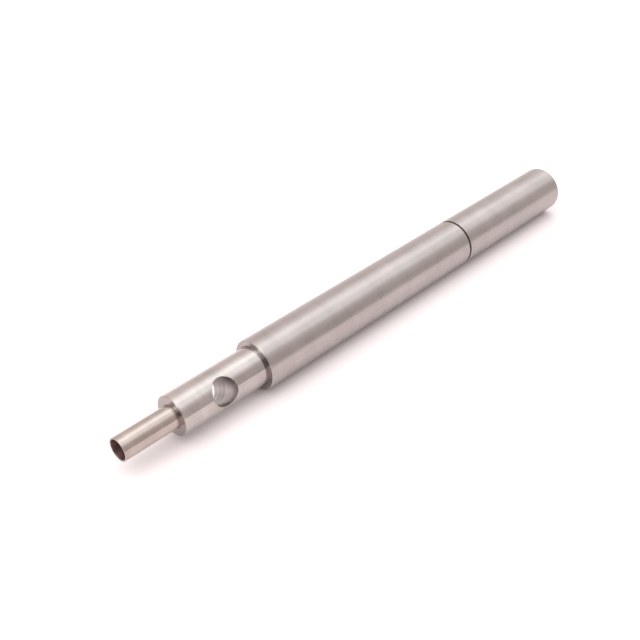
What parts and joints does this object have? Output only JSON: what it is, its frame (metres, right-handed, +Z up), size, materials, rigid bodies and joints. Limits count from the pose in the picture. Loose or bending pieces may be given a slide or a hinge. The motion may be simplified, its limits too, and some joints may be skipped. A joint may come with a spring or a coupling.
{
  "type": "turned pin",
  "caption": "Slender turned steel pin lying on its side, with a hollow spigot, a stepped neck with a cross hole, and a grooved body.",
  "frame": {"origin": "on the resting plane, below the pin's axis, halfway along the pin", "axes": "+X along the pin from the spigot to the rear face, +Z up; the pin lies on the generatrix of its body at Z = 0"},
  "size_m": [0.1106, 0.009, 0.009],
  "materials": {
    "turned_steel": "fine turned satin stainless steel"
  },
  "bodies": {
    "root": {"turned_pin": "turned_steel"}
  },
  "joints": []
}
